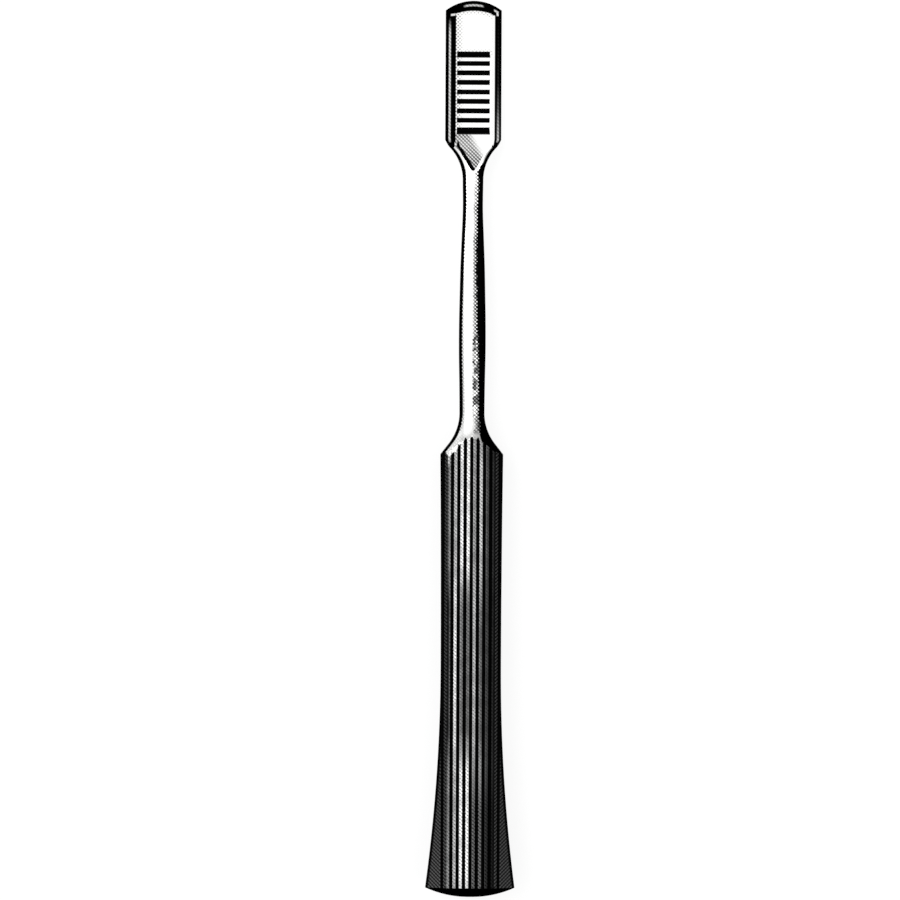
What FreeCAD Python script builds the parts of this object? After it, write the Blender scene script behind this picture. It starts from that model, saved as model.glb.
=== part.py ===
"""A raspatory: a bevelled, cross-grooved steel blade on a slim shaft with a fluted, flared handle.

Millimetres. The instrument lies on its back as it would on a table: X runs across it, +Y points
to the tip and +Z is up. The origin is under the middle of its box, at table height.
A station is a distance from the tip, measured back along the instrument's own axis.
"""

import FreeCAD, Part
import math
import os

# Blade
TIP_WIDTH = 13.45
TIP_RADIUS = 10.9
BLADE_LENGTH = 34.0
BLADE_THICKNESS = 3.4
BEVEL_WIDTH = 2.3

# Cross grooves on the front of the blade
GROOVE_COUNT = 9
GROOVE_PITCH = 2.28
GROOVE_LENGTH = 7.9
GROOVE_WIDTH = 1.1
GROOVE_DEPTH = 0.45
FIRST_GROOVE = 13.0

# Concave shoulders between the blade and the neck: an arc in plan, while the half thickness
# grows by the rise. The lead is how far their cut runs on past the blade's corners.
SHOULDER_LENGTH = 9.2
SHOULDER_RADIUS = 11.4
SHOULDER_LEAD = 1.2
SHOULDER_RISE = 1.42
SHOULDER_POWER = 1.7
SHOULDER_SECTIONS = 9

# Neck and shaft: widths and thicknesses between the neck and the round end, in equal steps
NECK_WIDTH = 4.94
NECK_THICKNESS = 3.16
SHAFT_WIDTHS = (4.82, 5.32, 5.84, 6.16, 6.40, 6.40, 6.14)
SHAFT_THICKNESSES = (3.20, 3.45, 3.85, 4.35, 4.90, 5.40, 5.80)
SHAFT_DIAMETER = 6.0

# Handle: widths across the front, thicknesses from front to back, and the height of its narrow sides
HANDLE_START = 108.9
HANDLE_END = 212.6
WAIST = 160.0
TOP_WIDTH = 15.04
WAIST_WIDTH = 14.44
BUTT_WIDTH = 21.36
TOP_THICKNESS = 9.4
WAIST_THICKNESS = 9.0
BUTT_THICKNESS = 12.0
TOP_SIDE = 4.4
BUTT_SIDE = 5.6
HANDLE_SECTIONS = 13
CONE_ANGLE = 38.0
CONE_RADIUS = 12.0
CROWN_HEIGHT = 2.4
CROWN_FLAT = 0.05

# Flutes along the handle's flat panels, and one near each narrow side, set in from it by the inset
FLUTE_COUNT = 7
FLUTE_PITCH = 1.525
FLUTE_WIDTH = 0.86
FLUTE_DEPTH = 0.42
FLUTE_FLATS = 4
EDGE_FLUTE_INSET = 0.49

# How far a cutting or blanking solid runs past the steel
SPARE = 4.0

OVERALL_LENGTH = HANDLE_END + CROWN_HEIGHT
NECK_STATION = BLADE_LENGTH + SHOULDER_LENGTH
PANEL_WIDTH = FLUTE_COUNT * FLUTE_PITCH


def at(station, x, z):
    """The point at a station along the axis, x across it and z above it."""
    return FreeCAD.Vector(x, -station, z)


def block(start, end, half_width, half_thickness):
    """A plain block between two stations."""
    corner = at(end, -half_width, -half_thickness)
    return Part.makeBox(2 * half_width, end - start, 2 * half_thickness, corner)


def arc_rise(radius, run):
    """How far an arc has left its tangent after a run along it."""
    return radius - math.sqrt(radius**2 - run**2)


def arc_through(rise, run):
    """The radius of an arc that leaves its tangent by a rise over a run."""
    return (run**2 + rise**2) / (2 * rise)


def blade_outline(inset, height):
    """The blade's outline at one height: a rounded tip and two straight sides, moved in by the inset."""
    half = TIP_WIDTH / 2 - inset
    radius = TIP_RADIUS - inset
    corner = inset + arc_rise(radius, half)
    right = at(corner, half, height)
    left = at(corner, -half, height)
    heel_right = at(NECK_STATION, half, height)
    heel_left = at(NECK_STATION, -half, height)
    edges = [
        Part.Arc(left, at(inset, 0, height), right).toShape(),
        Part.LineSegment(right, heel_right).toShape(),
        Part.LineSegment(heel_right, heel_left).toShape(),
        Part.LineSegment(heel_left, left).toShape(),
    ]
    return Part.Wire(edges)


def bevelled_plate():
    """The blade's plate: the sharp edge lies in the back face, and the bevel climbs to the front."""
    back = blade_outline(0, -BLADE_THICKNESS / 2)
    front = blade_outline(BEVEL_WIDTH, BLADE_THICKNESS / 2)
    return Part.makeLoft([back, front], True, True)


def shoulder_form(station):
    """Half width and half thickness of the neck as it flares into the blade."""
    run = NECK_STATION - station
    half_width = NECK_WIDTH / 2 + arc_rise(SHOULDER_RADIUS, run)
    rise = SHOULDER_RISE * (run / SHOULDER_LENGTH) ** SHOULDER_POWER
    return half_width, NECK_THICKNESS / 2 + rise


def oval(station, half_width, half_thickness):
    """An elliptical section across the axis."""
    side = at(station, half_width, 0)
    top = at(station, 0, half_thickness)
    return Part.Wire([Part.Ellipse(side, top, at(station, 0, 0)).toShape()])


def shaft_end():
    """The station where the round shaft begins to open into the handle's cone."""
    angle = math.radians(CONE_ANGLE)
    arc_end_radius = SHAFT_DIAMETER / 2 + CONE_RADIUS * (1 - math.cos(angle))
    straight = (TOP_WIDTH / 2 - arc_end_radius) / math.tan(angle)
    return HANDLE_START - straight - CONE_RADIUS * math.sin(angle)


def flare():
    """The neck as it opens into the blade, as a skin over oval sections."""
    start = BLADE_LENGTH - SHOULDER_LEAD
    step = (NECK_STATION - start) / (SHOULDER_SECTIONS - 1)
    stations = [start + index * step for index in range(SHOULDER_SECTIONS)]
    return Part.makeLoft([oval(station, *shoulder_form(station)) for station in stations], True, False)


def shaft():
    """The shaft, flat at the neck and round where it meets the handle."""
    widths = (NECK_WIDTH, *SHAFT_WIDTHS, SHAFT_DIAMETER)
    thicknesses = (NECK_THICKNESS, *SHAFT_THICKNESSES, SHAFT_DIAMETER)
    step = (shaft_end() - NECK_STATION) / (len(widths) - 1)
    sections = []
    for index, (width, thickness) in enumerate(zip(widths, thicknesses)):
        sections.append(oval(NECK_STATION + index * step, width / 2, thickness / 2))
    return Part.makeLoft(sections, True, True)


def grooves():
    """Round-bottomed cross grooves with square ends, one behind the other along the blade."""
    radius = GROOVE_WIDTH / 2
    height = BLADE_THICKNESS / 2 + radius - GROOVE_DEPTH
    across = FreeCAD.Vector(1, 0, 0)
    cutters = []
    for index in range(GROOVE_COUNT):
        left_end = at(FIRST_GROOVE + index * GROOVE_PITCH, -GROOVE_LENGTH / 2, height)
        cutters.append(Part.makeCylinder(radius, GROOVE_LENGTH, left_end, across))
    return cutters


def handle_form(station):
    """Half width, half thickness and half side height of the handle, in two sweeps that meet at the waist."""
    if station < WAIST:
        full_run = WAIST - HANDLE_START
        width, thickness = TOP_WIDTH, TOP_THICKNESS
    else:
        full_run = HANDLE_END - WAIST
        width, thickness = BUTT_WIDTH, BUTT_THICKNESS
    sweep = ((station - WAIST) / full_run) ** 2
    half_width = (WAIST_WIDTH + (width - WAIST_WIDTH) * sweep) / 2
    half_thickness = (WAIST_THICKNESS + (thickness - WAIST_THICKNESS) * sweep) / 2
    share = (station - HANDLE_START) / (HANDLE_END - HANDLE_START)
    half_side = (TOP_SIDE + (BUTT_SIDE - TOP_SIDE) * share) / 2
    return half_width, half_thickness, half_side


def fluted_edge(start, end, centres):
    """The edges along one facet: lands, and a hollow of narrow flats at each distance from its start."""
    along = (end - start).normalize()
    inward = FreeCAD.Vector(-along.z, 0, along.x)
    radius = arc_through(FLUTE_DEPTH, FLUTE_WIDTH / 2)
    half_angle = math.asin(FLUTE_WIDTH / 2 / radius)
    points = [start]
    for centre in centres:
        for index in range(FLUTE_FLATS + 1):
            angle = half_angle * (2 * index / FLUTE_FLATS - 1)
            sink = FLUTE_DEPTH - arc_rise(radius, radius * math.sin(angle))
            points.append(start + along * (centre + radius * math.sin(angle)) + inward * sink)
    points.append(end)
    return [Part.LineSegment(a, b).toShape() for a, b in zip(points, points[1:])]


def handle_section(station):
    """The handle's flattened octagon at a station, with its flutes."""
    half_width, half_thickness, half_side = handle_form(station)
    panel = PANEL_WIDTH / 2
    corners = [
        at(station, half_width, half_side),
        at(station, panel, half_thickness),
        at(station, -panel, half_thickness),
        at(station, -half_width, half_side),
        at(station, -half_width, -half_side),
        at(station, -panel, -half_thickness),
        at(station, panel, -half_thickness),
        at(station, half_width, -half_side),
    ]
    middle = (FLUTE_COUNT - 1) / 2
    panel_flutes = [panel + (index - middle) * FLUTE_PITCH for index in range(FLUTE_COUNT)]
    facet = corners[1] - corners[0]
    lean = facet.Length / (half_width - panel)
    edge_flute = min(TOP_WIDTH, WAIST_WIDTH) / 2 - EDGE_FLUTE_INSET
    near_side = [(half_width - edge_flute) * lean]
    near_panel = [(edge_flute - panel) * lean]
    pattern = [near_side, panel_flutes, near_panel, []] * 2
    edges = []
    for index, centres in enumerate(pattern):
        start = corners[index]
        end = corners[(index + 1) % len(corners)]
        edges += fluted_edge(start, end, centres)
    return Part.Wire(edges)


def fluted_bar():
    """The handle's fluted bar, run past both of its ends."""
    start = shaft_end() - SPARE / 2
    end = OVERALL_LENGTH + SPARE / 2
    step = (end - start) / (HANDLE_SECTIONS - 1)
    sections = [handle_section(start + index * step) for index in range(HANDLE_SECTIONS)]
    return Part.makeLoft(sections, True, False)


def turned_blank():
    """The turned shape of the handle's upper end: a concave cone that opens past the bar's corners."""
    angle = math.radians(CONE_ANGLE)
    start = shaft_end()
    shaft_radius = SHAFT_DIAMETER / 2
    outside = BUTT_WIDTH
    arc_end = start + CONE_RADIUS * math.sin(angle)
    arc_radius = shaft_radius + CONE_RADIUS * (1 - math.cos(angle))
    half_turn = angle / 2
    arc_middle = start + CONE_RADIUS * math.sin(half_turn)
    middle_radius = shaft_radius + CONE_RADIUS * (1 - math.cos(half_turn))
    cone_end = arc_end + (outside - arc_radius) / math.tan(angle)
    end = OVERALL_LENGTH + SPARE
    corners = [
        at(arc_end, arc_radius, 0),
        at(cone_end, outside, 0),
        at(end, outside, 0),
        at(end, 0, 0),
        at(start, 0, 0),
        at(start, shaft_radius, 0),
    ]
    arc = Part.Arc(corners[-1], at(arc_middle, middle_radius, 0), corners[0])
    edges = [arc.toShape()]
    edges += [Part.LineSegment(a, b).toShape() for a, b in zip(corners, corners[1:])]
    face = Part.Face(Part.Wire(edges))
    return face.revolve(FreeCAD.Vector(0, 0, 0), FreeCAD.Vector(0, 1, 0), 360)


def crown_blank(half_span, turn):
    """A block whose end is crowned across one pair of facets and ground flat in the middle."""
    radius = arc_through(CROWN_HEIGHT, half_span)
    flat = math.sqrt(2 * radius * CROWN_FLAT)
    skirt = (half_span + radius) / 2
    shoulder = (flat + skirt) / 2
    edge = BUTT_WIDTH

    def crown(x):
        return at(OVERALL_LENGTH - arc_rise(radius, x), x, -edge)

    edges = [
        Part.Arc(crown(-skirt), crown(-shoulder), crown(-flat)).toShape(),
        Part.LineSegment(crown(-flat), crown(flat)).toShape(),
        Part.Arc(crown(flat), crown(shoulder), crown(skirt)).toShape(),
        Part.LineSegment(crown(skirt), at(0, skirt, -edge)).toShape(),
        Part.LineSegment(at(0, skirt, -edge), at(0, -skirt, -edge)).toShape(),
        Part.LineSegment(at(0, -skirt, -edge), crown(-skirt)).toShape(),
    ]
    blank = Part.Face(Part.Wire(edges)).extrude(FreeCAD.Vector(0, 0, 2 * edge))
    blank.rotate(FreeCAD.Vector(0, 0, 0), FreeCAD.Vector(0, 1, 0), turn)
    return blank


def handle():
    """The fluted bar, turned to a cone at the shaft and crowned across each pair of facets at the butt."""
    panel = PANEL_WIDTH / 2
    half_width, half_thickness, half_side = handle_form(HANDLE_END)
    lean = math.atan2(half_width - panel, half_thickness - half_side)
    facet_span = panel * math.cos(lean) + half_thickness * math.sin(lean)
    turn = math.degrees(lean)
    solid = fluted_bar().common(turned_blank())
    for half_span, angle in (
        (half_width, 0),
        (half_thickness, 90),
        (facet_span, turn),
        (facet_span, -turn),
    ):
        solid = solid.common(crown_blank(half_span, angle))
    return solid


def blade():
    """The bevelled plate with its grooves, carved at the heel by the flare of the neck."""
    start = BLADE_LENGTH - SHOULDER_LEAD
    waste = block(start, NECK_STATION, TIP_WIDTH, BLADE_THICKNESS).cut(flare())
    return bevelled_plate().cut([waste] + grooves())


def lay_down(solid):
    """Lay the instrument on its back, so that the handle rests at its rim and at its upper end."""
    shaft_radius = SHAFT_DIAMETER / 2
    top_run = TOP_THICKNESS / 2 - shaft_radius
    top = shaft_end() + math.sqrt(2 * CONE_RADIUS * top_run - top_run**2)
    drop = handle_form(HANDLE_END)[1] - handle_form(top)[1]
    tilt = -math.degrees(math.atan2(drop, HANDLE_END - top))
    solid.rotate(FreeCAD.Vector(0, 0, 0), FreeCAD.Vector(1, 0, 0), tilt)
    box = solid.optimalBoundingBox(False)
    solid.translate(FreeCAD.Vector(-box.Center.x, -box.Center.y, -box.ZMin))
    return solid


def build():
    """Join blade, shaft and handle into one bar of steel and write it out."""
    solid = lay_down(blade().fuse(shaft()).fuse(handle()))
    os.makedirs("parts", exist_ok=True)
    solid.exportStep("parts/raspatory.step")
    print("valid", solid.isValid(), "solids", len(solid.Solids), "volume", round(solid.Volume, 1))


if __name__ == "__main__":
    build()
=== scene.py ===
"""The looks of a steel raspatory that lies on its back on a white bench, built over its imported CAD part.

The whole instrument is one welded skin, worked out from the same sizes as the CAD solid. Strips of
sections run from the blade's tip to the end of the shaft, others make the fluted handle, and a narrow
band joins them. Sizes are in millimetres and stations are distances from the tip, until the last step
lays the skin down in the frame and turns it to metres.
"""

import logging
import math
from dataclasses import dataclass, field
from enum import IntEnum
from typing import Union

import bmesh
import bpy
import numpy as np
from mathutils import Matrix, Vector


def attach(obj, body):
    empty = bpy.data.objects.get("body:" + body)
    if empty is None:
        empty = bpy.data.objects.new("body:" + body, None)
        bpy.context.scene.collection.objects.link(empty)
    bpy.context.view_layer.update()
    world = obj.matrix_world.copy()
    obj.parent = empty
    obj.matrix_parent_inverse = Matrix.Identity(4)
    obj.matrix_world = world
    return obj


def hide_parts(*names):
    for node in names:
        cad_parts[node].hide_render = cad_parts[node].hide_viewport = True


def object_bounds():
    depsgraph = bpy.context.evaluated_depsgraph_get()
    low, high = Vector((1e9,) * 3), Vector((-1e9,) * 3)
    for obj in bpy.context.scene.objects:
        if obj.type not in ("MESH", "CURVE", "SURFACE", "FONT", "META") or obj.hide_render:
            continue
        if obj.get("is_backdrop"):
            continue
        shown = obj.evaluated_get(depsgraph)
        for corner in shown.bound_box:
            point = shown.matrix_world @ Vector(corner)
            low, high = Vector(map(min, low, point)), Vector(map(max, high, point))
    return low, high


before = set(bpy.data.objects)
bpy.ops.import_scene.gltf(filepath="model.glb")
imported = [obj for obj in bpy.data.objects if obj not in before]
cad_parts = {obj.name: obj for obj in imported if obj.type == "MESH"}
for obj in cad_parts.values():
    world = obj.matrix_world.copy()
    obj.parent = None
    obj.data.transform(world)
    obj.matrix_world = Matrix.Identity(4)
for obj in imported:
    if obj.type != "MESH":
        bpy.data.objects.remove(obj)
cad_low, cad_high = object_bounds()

log = logging.getLogger("raspatory")

NODE = "raspatory"
UV_MAP = "Surface"
ANGLE_DIGITS = 6
LEAST_RUN = 1e-9
MILLIMETRE = 0.001
WELD_DISTANCE = 1e-6
FAR_OUT = 1e3
MIRROR = (-1, 1, 1)
FACETS = 8
# Steps round the oval above and below the place where the bevel's strips end.
UPPER_STEPS = 20
LOWER_STEPS = 24

Measure = Union[np.ndarray, float]
# Half sizes, or distances across and above the axis.
Pair = tuple[np.ndarray, np.ndarray]
# Single shares, then the start, end and count of an even run, then single shares again.
Shares = tuple[tuple[float, ...], tuple[float, float, int], tuple[float, ...]]


class Finish(IntEnum):
    """The finishes on the instrument, in the order of the skin's material slots."""

    POLISHED_FACE = 0
    GROUND_BEVEL = 1
    # Painted black shade in the grooves' bottoms.
    BLACKENED_GROOVE = 2
    POLISHED_SHAFT = 3
    # Painted light and shade on the handle: a black body and lit crests.
    RUBBED_HANDLE = 4
    # Painted black shade on the crowned butt.
    BLACKENED_END = 5
    POLISHED_BACK = 6


def arc_rise(radius: float, run: Measure) -> np.ndarray:
    """How far an arc has left its tangent: the radius less the root of radius squared less run squared.

    Args:
        radius: The arc's radius.
        run: The distance along the tangent.

    Returns:
        The rise, in the same unit.
    """
    return radius - np.sqrt(np.maximum(radius**2 - np.square(run), 0.0))


def arc_through(rise: float, run: float) -> float:
    """The radius of an arc that leaves its tangent by a rise over a run."""
    return (run**2 + rise**2) / (2 * rise)


def mix(start: Measure, end: Measure, share: Measure) -> np.ndarray:
    """The value a share of the way from start to end."""
    return np.asarray(start) + (np.asarray(end) - start) * share


def edged(count: int, rim: float) -> np.ndarray:
    """Shares from 0 to 1 in equal steps, with one more beside each end at the rim's share.

    Args:
        count: How many equal steps lie between the two rims.
        rim: The share of the narrow step beside each end, which keeps an edge crisp.

    Returns:
        The shares in rising order.
    """
    return np.concatenate([[0.0], np.linspace(rim, 1 - rim, count + 1), [1.0]])


def crowded(shares: Shares) -> np.ndarray:
    """A column of shares that lie close where a piece meets the next one and evenly in between."""
    return np.concatenate([shares[0], np.linspace(*shares[1]), shares[2]])[:, None]


def smooth_through(values: tuple[float, ...], position: np.ndarray) -> np.ndarray:
    """A smooth curve through values at whole positions: a cubic whose slope at each value is half the
    difference of its two neighbours.

    Args:
        values: The curve's values at positions 0, 1, 2 and so on.
        position: Where the curve is read.

    Returns:
        The curve's height at each position.
    """
    known = np.asarray(values)
    last = len(known) - 1
    index = np.clip(np.floor(position).astype(int), 0, last - 1)
    share = position - index
    before, here = known[np.maximum(index - 1, 0)], known[index]
    after, beyond = known[index + 1], known[np.minimum(index + 2, last)]
    slope_here, slope_after = (after - before) / 2, (beyond - here) / 2
    square, cube = share**2, share**3
    return (
        here * (2 * cube - 3 * square + 1)
        + slope_here * (cube - 2 * square + share)
        + after * (3 * square - 2 * cube)
        + slope_after * (cube - square)
    )


@dataclass
class Patch:
    """A grid of points: rows along the instrument and columns across it.

    Attributes:
        points: Rows by columns by (across, station, height), in millimetres.
        surface: Rows by columns by (inwards or across, along), in millimetres: the skin's UV map.
        finish: The patch's finish, or one finish for each of its cells.
    """

    points: np.ndarray
    surface: np.ndarray
    finish: Finish | np.ndarray

    def mirrored(self) -> "Patch":
        """The same patch on the instrument's other half."""
        return Patch(self.points * MIRROR, self.surface, self.finish)


def patch(
    across: np.ndarray, station: np.ndarray, height: np.ndarray, inwards: np.ndarray, finish: Finish
) -> Patch:
    """A patch from its three coordinates, each spread over the same grid.

    Args:
        across: Distance across the axis.
        station: Distance from the tip.
        height: Distance above the axis.
        inwards: The first number of the UV map; the second one is the station.
        finish: The patch's finish.

    Returns:
        The patch.
    """
    grids = np.broadcast_arrays(across, station, height, inwards)
    points = np.stack(grids[:3], axis=-1).astype(float)
    surface = np.stack([grids[3], grids[1]], axis=-1).astype(float)
    return Patch(points, surface, finish)


@dataclass
class Blade:
    """The blade: a bevelled plate with cross grooves, whose heel is carved by the flare of the neck."""

    tip_width: float = 13.45
    tip_radius: float = 10.9
    length: float = 34.0
    thickness: float = 3.4
    bevel_width: float = 2.3
    groove_count: int = 9
    groove_pitch: float = 2.28
    groove_length: float = 7.9
    groove_width: float = 1.1
    groove_depth: float = 0.45
    first_groove: float = 13.0
    shoulder_length: float = 9.2
    shoulder_radius: float = 11.4
    shoulder_lead: float = 1.2
    shoulder_rise: float = 1.42
    shoulder_power: float = 1.7
    neck_width: float = 4.94
    neck_thickness: float = 3.16
    straight_from: float = 8.0
    # Where the skin's rows and columns stand.
    rim: float = 0.07
    groove_wall: float = 0.01
    face_columns: tuple[float, ...] = (0, 0.4, 0.8, 1.2, 1.6, 2.0, 2.4, 2.8, 3.2, 3.55)
    outer_column: float = 4.2
    tip_steps: tuple[float, ...] = (0, 0.012, 0.04, 0.12, 0.25, 0.4, 0.55, 0.7, 0.85, 1.0)
    side_steps: int = 6
    side_rim: float = 0.02
    groove_rows: int = 9
    groove_turn: float = 1.4
    row_gap: float = 1.2
    gap_ahead: float = 0.5
    gap_behind: float = 0.6
    flare_rows: int = 84

    @property
    def neck_station(self) -> float:
        """Where the flare ends and the shaft begins."""
        return self.length + self.shoulder_length

    @property
    def half_front(self) -> float:
        """Half the width of the front face."""
        return self.tip_width / 2 - self.bevel_width

    def face_shares(self) -> np.ndarray:
        """Where the front face's columns stand, as shares of its half width, close at the grooves' ends."""
        groove_end = self.groove_length / 2
        beside_end = [groove_end + gap for gap in (-self.rim, -self.groove_wall, self.groove_wall, self.rim)]
        beside_edge = [self.half_front - self.rim, self.half_front]
        columns = [*self.face_columns, *beside_end, self.outer_column, *beside_edge]
        return np.array(columns) / self.half_front

    def back_shares(self) -> np.ndarray:
        """The same columns on the back face: both tip arcs are divided at the same shares of their angle."""
        front_radius = self.tip_radius - self.bevel_width
        half_back = self.tip_width / 2
        turn = np.arcsin(self.face_shares() * self.half_front / front_radius)
        turn *= math.asin(half_back / self.tip_radius) / math.asin(self.half_front / front_radius)
        return self.tip_radius * np.sin(turn) / half_back

    def flare(self, station: np.ndarray) -> Pair:
        """Half width and half thickness of the neck's oval as it opens into the blade: an arc in plan, and
        a power of the run in thickness. Ahead of the flare the oval is too large to matter.

        Args:
            station: Stations ahead of the neck.

        Returns:
            The two half sizes.
        """
        run = self.neck_station - station
        half_width = self.neck_width / 2 + arc_rise(self.shoulder_radius, run)
        rise = self.shoulder_rise * np.maximum(run / self.shoulder_length, 0) ** self.shoulder_power
        ahead = station < self.length - self.shoulder_lead
        half_thickness = self.neck_thickness / 2 + rise
        return np.where(ahead, FAR_OUT, half_width), np.where(ahead, FAR_OUT, half_thickness)

    def section(self, station: np.ndarray) -> dict[str, Pair]:
        """The corners of the section: where the flare's oval cuts the front, the bevel and the back.

        The bevel runs from the back corner, share 0, to the front corner, share 1. Put into the oval's
        equation it gives a quadratic in the share, whose two roots are the ends of what is left of it.
        Once none is left, both ends are its nearest point, drawn in to the oval.

        Args:
            station: The stations of the rows.

        Returns:
            The oval's half sizes, and the (across, height) of each corner of the right half.
        """
        wide, thick = self.flare(station)
        half, back, fall = self.thickness / 2, self.tip_width / 2, self.bevel_width
        square = (fall / wide) ** 2 + (2 * half / thick) ** 2
        linear = -2 * back * fall / wide**2 - (2 * half / thick) ** 2
        constant = (back / wide) ** 2 + (half / thick) ** 2 - 1
        root = np.sqrt(np.maximum(linear**2 - 4 * square * constant, 0))
        flat_reach = wide * np.sqrt(np.maximum(1 - (half / thick) ** 2, 0))
        face = np.minimum(half, thick)

        def on_bevel(share: np.ndarray) -> Pair:
            """The bevel's point at a share, drawn in to the oval where it lies outside."""
            across = back - fall * share
            height = half * (2 * share - 1)
            outside = np.maximum(np.hypot(across / wide, height / thick), 1)
            return across / outside, height / outside

        return {
            "oval": (wide, thick),
            "front": (np.minimum(self.half_front, flat_reach), face),
            "bevel_top": on_bevel(np.clip((root - linear) / (2 * square), 0, 1)),
            "bevel_foot": on_bevel(np.clip((-root - linear) / (2 * square), 0, 1)),
            "back": (np.minimum(back, flat_reach), -face),
        }

    def rows(self) -> np.ndarray:
        """The stations of the rows behind the tip: close at the grooves, at the heel and beside edges."""
        radius = self.groove_width / 2
        lip = math.sqrt(radius**2 - (radius - self.groove_depth) ** 2)
        turn = np.linspace(-self.groove_turn, self.groove_turn, self.groove_rows)
        hollow = lip * np.sin(turn) / math.sin(self.groove_turn)
        one_groove = np.concatenate([[-lip - self.rim], hollow, [lip + self.rim]])
        centres = self.first_groove + np.arange(self.groove_count) * self.groove_pitch
        grooves = (centres[:, None] + one_groove).ravel()
        heel = self.length - self.shoulder_lead
        ahead = np.arange(self.straight_from, grooves[0] - self.gap_ahead, self.row_gap)
        flare = np.linspace(heel, self.neck_station, self.flare_rows)
        return np.concatenate([ahead, grooves, [grooves[-1] + self.gap_behind], flare])

    def groove_sink(self, station: np.ndarray, across: np.ndarray) -> np.ndarray:
        """How deep the grooves lie below the front: the dip of a round bar laid across the blade.

        Args:
            station: The stations of the rows, as a column.
            across: The distances across, as a row.

        Returns:
            The depth at each crossing.
        """
        radius = self.groove_width / 2
        index = np.clip(np.round((station - self.first_groove) / self.groove_pitch), 0, self.groove_count - 1)
        off_centre = station - self.first_groove - index * self.groove_pitch
        bar = np.sqrt(np.maximum(radius**2 - off_centre**2, 0)) - (radius - self.groove_depth)
        return np.where(np.abs(across) < self.groove_length / 2, np.maximum(bar, 0), 0)

    def tip_patches(self) -> list[Patch]:
        """The blade ahead of the grooves: rows that change from the tip's arc to straight ones."""
        half = self.thickness / 2
        front_x = self.face_shares() * self.half_front
        back_x = self.back_shares() * self.tip_width / 2
        front_start = self.bevel_width + arc_rise(self.tip_radius - self.bevel_width, front_x)
        back_start = arc_rise(self.tip_radius, back_x)
        steps = np.array(self.tip_steps)[:, None]
        front, back = (mix(arc, self.straight_from, steps) for arc in (front_start, back_start))
        share = edged(self.side_steps, self.side_rim)
        side_x = mix(back_x[-1], front_x[-1], share)
        side = mix(mix(back_start[-1], front_start[-1], share), self.straight_from, steps)
        rising = share[:, None]
        tip_x, tip = mix(back_x, front_x, rising), mix(back_start, front_start, rising)
        return [
            patch(front_x, front, half, self.half_front - front_x, Finish.POLISHED_FACE),
            patch(side_x, side, half * (2 * share - 1), self.bevel_width * share, Finish.GROUND_BEVEL),
            patch(back_x, back, -half, back_x[-1] - back_x, Finish.POLISHED_BACK),
            patch(tip_x, tip, half * (2 * rising - 1), self.bevel_width * rising, Finish.GROUND_BEVEL),
        ]

    def body_patches(self) -> list[Patch]:
        """The blade from where its rows are straight to the neck: five strips down the right half."""
        station = self.rows()[:, None]
        corners = self.section(station)
        (front_x, front_z), (back_x, back_z) = corners["front"], corners["back"]
        (top_x, top_z), (foot_x, foot_z) = corners["bevel_top"], corners["bevel_foot"]
        across = front_x * self.face_shares()
        sink = self.groove_sink(station, across)
        face = patch(across, station, front_z - sink, front_x - across, Finish.POLISHED_FACE)
        sunk = sink[:-1, :-1] + sink[1:, :-1] > 0
        # Cells sunk into a groove are painted black, as shade in the hollow.
        face.finish = np.where(sunk, int(Finish.BLACKENED_GROOVE), int(Finish.POLISHED_FACE))
        share = edged(self.side_steps, self.side_rim)
        side_x, side_z = mix(top_x, foot_x, share), mix(top_z, foot_z, share)
        bevel = patch(side_x, station, side_z, self.bevel_width * (1 - share), Finish.GROUND_BEVEL)
        upper = oval_strip(station, corners["oval"], corners["front"], corners["bevel_top"], UPPER_STEPS)
        lower = oval_strip(station, corners["oval"], corners["bevel_foot"], corners["back"], LOWER_STEPS)
        under = back_x * self.back_shares()
        back = patch(under, station, back_z, back_x - under, Finish.POLISHED_BACK)
        return [face, upper, bevel, lower, back]

    def patches(self) -> list[Patch]:
        """Every patch of the right half of the blade."""
        return self.tip_patches() + self.body_patches()


def oval_strip(station: np.ndarray, oval: Pair, start: Pair, end: Pair, count: int) -> Patch:
    """A strip round part of an oval: equal steps of the oval's own angle between two of its points.

    Args:
        station: The stations of the rows, as a column.
        oval: The oval's half width and half thickness at each row.
        start: The (across, height) where each row starts.
        end: The (across, height) where each row ends.
        count: How many steps lie between them.

    Returns:
        The strip, whose UV map holds the share of the half width.
    """
    wide, thick = oval
    share = np.linspace(0, 1, count + 1)
    ends = [(across / wide, height / thick) for across, height in (start, end)]
    first, last = (np.arctan2(height, across) for across, height in ends)
    reach = mix(np.hypot(*ends[0]), np.hypot(*ends[1]), share)
    angle = mix(first, last, share)
    across, height = np.cos(angle) * reach, np.sin(angle) * reach
    return patch(wide * across, station, thick * height, across, Finish.POLISHED_SHAFT)


@dataclass
class Shaft:
    """The shaft: an oval that grows from the flat neck and turns round before the handle's cone."""

    start: float
    end: float
    widths: tuple[float, ...] = (4.94, 4.82, 5.32, 5.84, 6.16, 6.40, 6.40, 6.14, 6.0)
    thicknesses: tuple[float, ...] = (3.16, 3.20, 3.45, 3.85, 4.35, 4.90, 5.40, 5.80, 6.0)
    join: float = 0.25
    rows: int = 96

    def patches(self, split: float) -> list[Patch]:
        """The two strips of the right half, which meet at the angle where the blade's strips end.

        Args:
            split: The oval's own angle between the upper and the lower strip.

        Returns:
            The two strips.
        """
        station = np.linspace(self.start, self.end - self.join, self.rows)[:, None]
        position = (station - self.start) / (self.end - self.start) * (len(self.widths) - 1)
        wide = smooth_through(self.widths, position) / 2
        thick = smooth_through(self.thicknesses, position) / 2
        side = (wide * math.cos(split), thick * math.sin(split))
        top, bottom = (wide * 0, thick), (wide * 0, -thick)
        return [
            oval_strip(station, (wide, thick), top, side, UPPER_STEPS),
            oval_strip(station, (wide, thick), side, bottom, LOWER_STEPS),
        ]


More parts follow.
